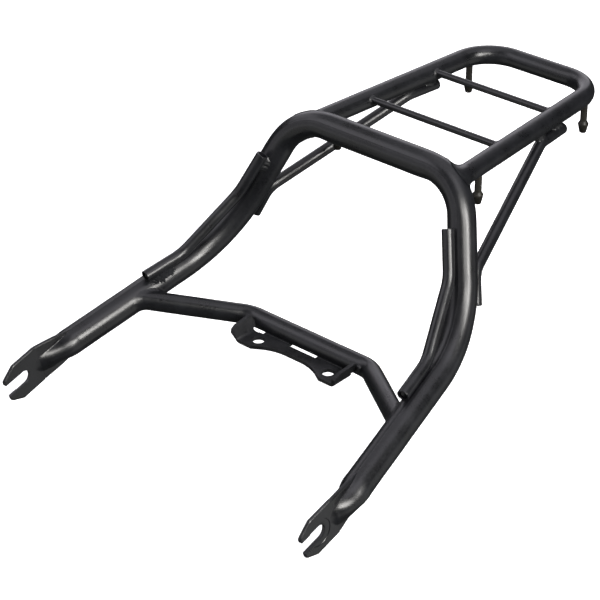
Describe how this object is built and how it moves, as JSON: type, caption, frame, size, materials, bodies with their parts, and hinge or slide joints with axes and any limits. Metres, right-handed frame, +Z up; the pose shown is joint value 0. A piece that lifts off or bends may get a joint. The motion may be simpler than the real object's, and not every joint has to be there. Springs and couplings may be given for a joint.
{
  "type": "motorcycle rear carrier",
  "caption": "Welded tubular steel rear carrier for a small motorcycle: bent hoop with slotted fork ends, tapered rack loop, crossbar, fender bracket, stays and hook pegs.",
  "frame": {"origin": "midway between the two bolt holes of the fender bracket, on the underside of its base plate", "axes": "+Y towards the rear of the motorcycle, +Z up, +X towards the rider's left"},
  "size_m": [0.3164, 0.4849, 0.1889],
  "materials": {
    "frame_paint": "satin black paint",
    "peg_paint": "dull dark grey-brown paint"
  },
  "bodies": {
    "root": {"main_hoop": "frame_paint", "rack_loop": "frame_paint", "crossbar_tube": "frame_paint", "fender_bracket": "frame_paint", "gusset_tube_left": "frame_paint", "gusset_tube_right": "frame_paint", "stay_left": "frame_paint", "stay_right": "frame_paint", "cross_rod_front": "frame_paint", "cross_rod_rear": "frame_paint", "hook_peg_front_left": "peg_paint", "hook_peg_front_right": "peg_paint", "hook_peg_rear_left": "peg_paint", "hook_peg_rear_right": "peg_paint"}
  },
  "joints": []
}
